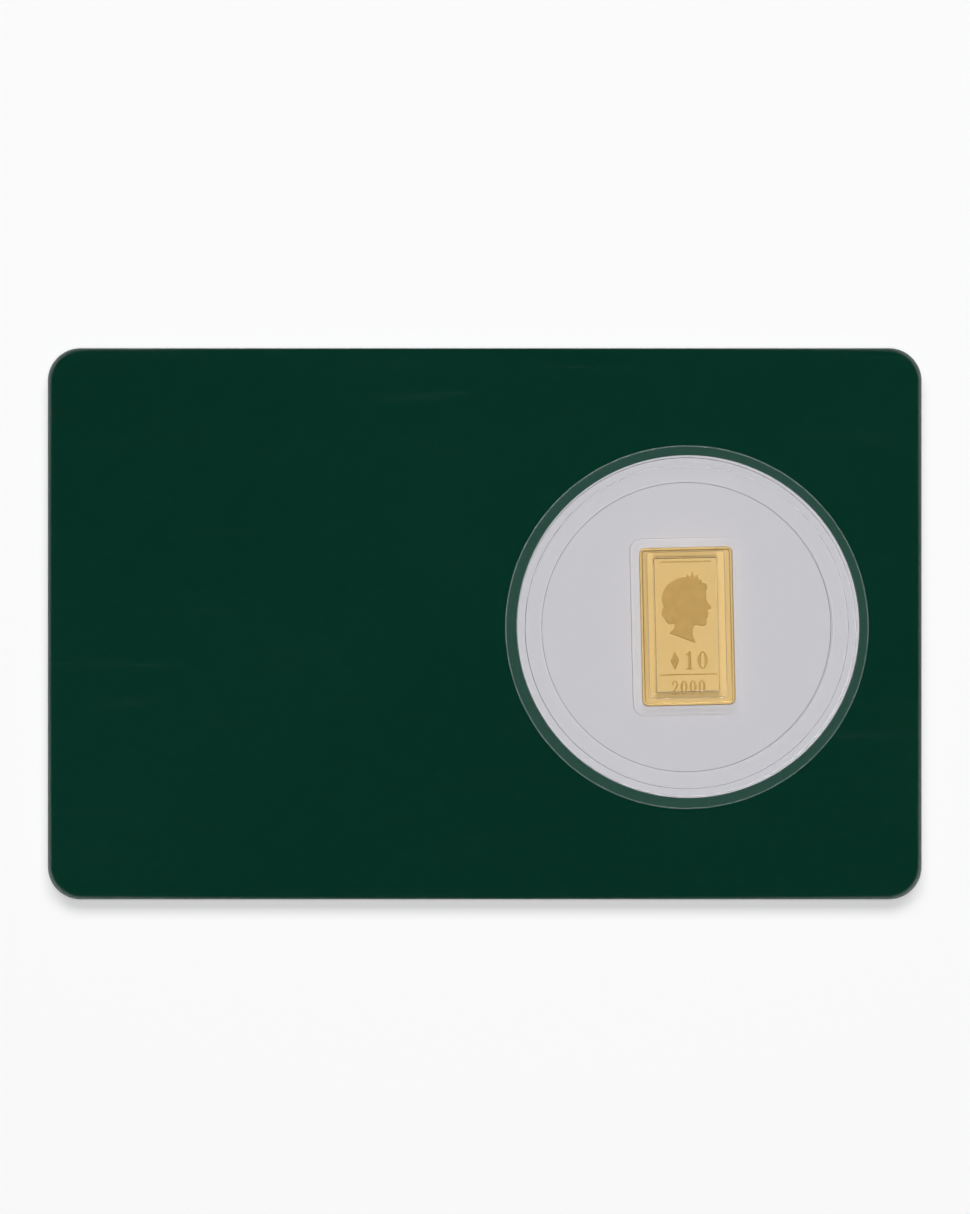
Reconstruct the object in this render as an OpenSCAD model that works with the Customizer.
// A bank-card-sized display card with a clear snap capsule in its round window.
// The capsule holds one small minted bar. The card lies face up, and Z = 0 is its rear face.

/* [Card] */
// Width of the card
card_w = 85.60; // [80:0.1:100]
// Height of the card
card_h = 53.98; // [44:0.01:60]
// Radius of the card's corners
corner_r = 3.18; // [1:0.01:6]
// Thickness of each clear laminating film
film_t = 0.10; // [0.05:0.01:0.2]
// Thickness of each printed sheet
sheet_t = 0.50; // [0.3:0.05:0.8]
// Thickness of each adhesive layer
glue_t = 0.10; // [0.05:0.01:0.15]
// Thickness of the core board
core_t = 0.60; // [0.4:0.05:1.2]

/* [Window] */
// Radius of the round window through the card
window_r = 16.81; // [16.8:0.01:17]
// Window centre, to the right of the card's centre
window_x = 19.94; // [0:0.01:20]
// Window centre, above the card's centre
window_y = -0.28; // [-2:0.01:2]
// Radius of the recess in the rear of the card that takes the rear flange
recess_r = 18.00; // [18:0.01:19]

/* [Capsule] */
// Radius of both flanges
flange_r = 17.79; // [17.2:0.01:17.82]
// Thickness of the front plate and its flange
front_plate_t = 0.78; // [0.6:0.01:1.2]
// Thickness of the rear plate inside the skirt
rear_plate_t = 0.75; // [0.6:0.01:0.9]
// Outer radius of the front shell's skirt
front_skirt_r = 16.60; // [16.3:0.01:16.64]
// Inner radius of the front shell's skirt, which the rear shell's skirt slides into
socket_r = 15.85; // [15.6:0.01:16]
// Inner radius of the rear shell's skirt
rear_skirt_bore_r = 14.27; // [13:0.01:14.8]
// Radial gap between the two skirts
skirt_gap = 0.05; // [0.03:0.01:0.1]
// Depth of the shallow recess under the rear plate, which leaves a foot ring round it
foot_h = 0.12; // [0.05:0.01:0.15]
// Turn of the capsule in its window, as it lies
capsule_turn = 1.3; // [-10:0.1:10]

/* [Pocket] */
// Width of the raised block round the pocket
boss_w = 11.05; // [11:0.05:12]
// Length of the raised block round the pocket
boss_l = 17.45; // [17.3:0.05:18.5]
// Width of the pocket's wide mouth
mouth_w = 9.60; // [9.4:0.05:9.8]
// Length of the pocket's wide mouth
mouth_l = 16.00; // [15.8:0.05:16.1]
// Gap between the bar and its seat, on each side
seat_gap = 0.04; // [0.03:0.01:0.1]
// How far the pocket's middle stands to the right of the capsule's middle
pocket_shift = 0.08; // [0:0.01:0.2]
// How far the pocket's middle stands above the capsule's middle
pocket_rise = 0.08; // [0:0.01:0.3]

/* [Hold-down block] */
// Width of the block under the front plate, at its root
block_w = 7.60; // [7:0.05:8.5]
// Length of the block under the front plate, at its root
block_l = 14.36; // [14:0.01:15]
// Width of its flat face over the bar
block_face_w = 6.12; // [6:0.01:6.8]
// Length of its flat face over the bar
block_face_l = 13.00; // [12:0.1:13.5]
// Height of the block's straight foot, under its sloped shoulders
block_foot_h = 0.16; // [0.05:0.01:0.3]
// How far the block's middle stands to the right of the capsule's middle
block_shift = 0.02; // [0:0.01:0.2]
// How far the block's middle stands above the capsule's middle
block_rise = 0.24; // [0:0.01:0.3]

/* [Bar] */
// Width of the bar
bar_w = 9.15; // [8:0.05:9.2]
// Length of the bar
bar_l = 15.55; // [14:0.05:15.6]
// Thickness of the bar
bar_t = 0.40; // [0.2:0.05:0.5]
// Radius of the bar's corners
bar_corner_r = 0.60; // [0.2:0.05:0.8]

/* [Hidden] */
$fn = 128;

// Small distances
past = 0.5;             // how far a cutter runs past the face that it cuts
rest_gap = 0.02;        // gap under the front flange, and over the bar
end_gap = 0.05;         // gap at the end of each skirt

// Heights of the card's layers, from the rear face up
back_sheet_z = film_t;
back_glue_z = back_sheet_z + sheet_t;
core_z = back_glue_z + glue_t;
front_glue_z = core_z + core_t;
front_sheet_z = front_glue_z + glue_t;
front_film_z = front_sheet_z + sheet_t;
card_t = front_film_z + film_t;

// The capsule sits a little low and to the left in its window, inside its play
capsule_pos = [window_x - 0.14, window_y - 0.06, 0];

// Heights in the capsule
rear_flange_t = core_z - end_gap;
front_plate_z = card_t + rest_gap;
capsule_top_z = front_plate_z + front_plate_t;
front_skirt_z = rear_flange_t + end_gap + 0.04;
rear_skirt_top_z = front_plate_z - end_gap;
rear_skirt_r = socket_r - skirt_gap;

// The snap: a rounded bead on the rear skirt, and the groove that it rests in
bead_z = (front_skirt_z + front_plate_z) / 2;
bead_r = 0.12;
bead_stand = skirt_gap - 0.02;
groove_r = bead_r + 0.06;

// The pocket, its seat and the hold-down block
seat_w = bar_w + 2 * seat_gap;
seat_l = bar_l + 2 * seat_gap;
seat_z = rear_plate_t;
ledge_z = seat_z + bar_t;
boss_top_z = front_plate_z - 0.12;
boss_corner_r = 1.2;
mouth_corner_r = 0.74;
seat_corner_r = bar_corner_r + seat_gap;
block_corner_r = 0.3;
block_face_z = ledge_z + rest_gap;
block_h = front_plate_z - block_face_z;
block_lip_h = 0.30;     // straight edge at the block's root
block_draft = 0.02;     // how far each side of its foot leans in
pocket_pos = [pocket_shift, pocket_rise, 0];
block_pos = [block_shift, block_rise, front_plate_z];

// Edge chamfers
film_chamfer = film_t;
flange_chamfer = 0.12;
bar_chamfer = 0.06;
foot_slope = 0.09;

// ---- Shapes that repeat ----

// A trapezium along Y: wide at the bottom, drawn in by inset on both sides at the top
module ridge(width, length, height, inset) {
    rotate([90, 0, 0])
        linear_extrude(height = length, center = true)
            polygon([[-width / 2, 0], [width / 2, 0],
                     [width / 2 - inset, height], [-width / 2 + inset, height]]);
}

// A rounded block whose sides lean in by inset towards the top
module rounded_block(width, length, height, radius, inset = 0) {
    ridge(width, length - 2 * radius, height, inset);
    rotate([0, 0, 90])
        ridge(length, width - 2 * radius, height, inset);
    for (x = [-1, 1], y = [-1, 1])
        translate([x * (width / 2 - radius), y * (length / 2 - radius), 0])
            cylinder(h = height, r1 = radius, r2 = radius - inset);
}

// One layer of the card: its outline with a round hole at the window
module card_layer(z, thickness, hole_r, chamfer = 0) {
    translate([0, 0, z])
        difference() {
            rounded_block(card_w, card_h, thickness, corner_r, chamfer);
            translate([window_x, window_y, -past])
                cylinder(h = thickness + 2 * past, r = hole_r);
        }
}

// A round disc or ring with its outer edge broken at the top
module chamfered_disc(z, thickness, radius, chamfer) {
    translate([0, 0, z]) {
        cylinder(h = thickness - chamfer, r = radius);
        translate([0, 0, thickness - chamfer])
            cylinder(h = chamfer, r1 = radius, r2 = radius - chamfer);
    }
}

// A plain ring standing on z
module ring(z, height, outer, inner) {
    translate([0, 0, z])
        difference() {
            cylinder(h = height, r = outer);
            translate([0, 0, -past])
                cylinder(h = height + 2 * past, r = inner);
        }
}

// A round bead of radius thick, swept round a circle of radius round
module bead(round, thick) {
    translate([0, 0, bead_z])
        rotate_extrude()
            translate([round, 0])
                circle(r = thick, $fn = 24);
}

// Puts the capsule's parts where they lie in the window
module in_capsule() {
    translate(capsule_pos)
        rotate([0, 0, capsule_turn])
            children();
}

// ---- The card ----

// Clear film on the rear, chamfered at its outer edge
module back_film() {
    color([0.80, 0.88, 0.84, 0.6])
        translate([0, 0, film_t])
            mirror([0, 0, 1])
                card_layer(0, film_t, recess_r, film_chamfer);
}

// Green printed sheet at the rear, with the recess for the rear flange
module back_sheet() {
    color([0.02, 0.17, 0.12])
        card_layer(back_sheet_z, sheet_t, recess_r);
}

// Adhesive layer between the rear sheet and the core
module back_adhesive() {
    color([0.75, 0.78, 0.70])
        card_layer(back_glue_z, glue_t, recess_r);
}

// Core board that the two flanges close on
module core_board() {
    color([0.06, 0.24, 0.18])
        card_layer(core_z, core_t, window_r);
}

// Adhesive layer between the core and the front sheet
module front_adhesive() {
    color([0.75, 0.78, 0.70])
        card_layer(front_glue_z, glue_t, window_r);
}

// Green printed sheet at the front
module front_sheet() {
    color([0.02, 0.17, 0.12])
        card_layer(front_sheet_z, sheet_t, window_r);
}

// Clear film on the front, chamfered at its outer edge
module front_film() {
    color([0.80, 0.88, 0.84, 0.6])
        card_layer(front_film_z, film_t, window_r, film_chamfer);
}

// ---- The capsule ----

// Space under the rear plate, inside the foot ring, with a sloped edge
module foot_recess() {
    radius = rear_skirt_bore_r;
    translate([0, 0, -past])
        cylinder(h = past, r = radius);
    cylinder(h = foot_h, r1 = radius, r2 = radius - foot_slope);
}

// Rear shell: flush flange, plate, inner skirt with the snap bead, and the pocket block
module capsule_back_shell() {
    color([0.85, 0.87, 0.90, 0.35])
        in_capsule()
            difference() {
                union() {
                    mirror([0, 0, 1])
                        chamfered_disc(-rear_flange_t, rear_flange_t, flange_r, flange_chamfer);
                    cylinder(h = rear_plate_t, r = rear_skirt_r);
                    ring(0, rear_skirt_top_z, rear_skirt_r, rear_skirt_bore_r);
                    bead(rear_skirt_r - bead_r + bead_stand, bead_r);
                    translate(pocket_pos + [0, 0, foot_h])
                        rounded_block(boss_w, boss_l, boss_top_z - foot_h, boss_corner_r);
                }
                translate(pocket_pos + [0, 0, seat_z])
                    rounded_block(seat_w, seat_l, boss_top_z, seat_corner_r);
                translate(pocket_pos + [0, 0, ledge_z])
                    rounded_block(mouth_w, mouth_l, boss_top_z, mouth_corner_r);
                foot_recess();
            }
}

// A block with mitred sides that all lean in by the same inset towards the top
module mitred_block(width, length, height, inset) {
    intersection() {
        ridge(width, length, height, inset);
        rotate([0, 0, 90])
            ridge(length, width, height, inset);
    }
}

// Block that keeps the bar down: a straight lip, sloped shoulders and a nearly straight foot
module hold_down_block() {
    waist_w = block_face_w + 2 * block_draft;
    waist_l = block_face_l + 2 * block_draft;
    shoulder_h = block_h - block_lip_h - block_foot_h;
    translate(block_pos)
        mirror([0, 0, 1]) {
            translate([0, 0, -block_lip_h])
                rounded_block(block_w, block_l, 2 * block_lip_h, block_corner_r);
            translate([0, 0, block_lip_h])
                intersection() {
                    rounded_block(block_w, block_l, shoulder_h, block_corner_r);
                    mitred_block(block_w, block_l, shoulder_h, (block_w - waist_w) / 2);
                }
            translate([0, 0, block_h - block_foot_h])
                mitred_block(waist_w, waist_l, block_foot_h, block_draft);
        }
}

// Front shell: plate and flange over the card, skirt through the window, hold-down block
module capsule_front_shell() {
    color([0.85, 0.87, 0.90, 0.35])
        in_capsule()
            difference() {
                union() {
                    chamfered_disc(front_plate_z, front_plate_t, flange_r, flange_chamfer);
                    ring(front_skirt_z, front_plate_z - front_skirt_z + front_plate_t / 2,
                         front_skirt_r, socket_r);
                    hold_down_block();
                }
                bead(socket_r - bead_r + bead_stand, groove_r);
            }
}

// ---- The bar ----

// Thin minted bar with rounded corners and a broken upper edge
module minted_bar() {
    color([0.86, 0.70, 0.38])
        in_capsule()
            translate(pocket_pos + [0, 0, seat_z]) {
                rounded_block(bar_w, bar_l, bar_t - bar_chamfer, bar_corner_r);
                translate([0, 0, bar_t - bar_chamfer])
                    rounded_block(bar_w, bar_l, bar_chamfer, bar_corner_r, bar_chamfer);
            }
}

back_film();
back_sheet();
back_adhesive();
core_board();
front_adhesive();
front_sheet();
front_film();
capsule_back_shell();
capsule_front_shell();
minted_bar();
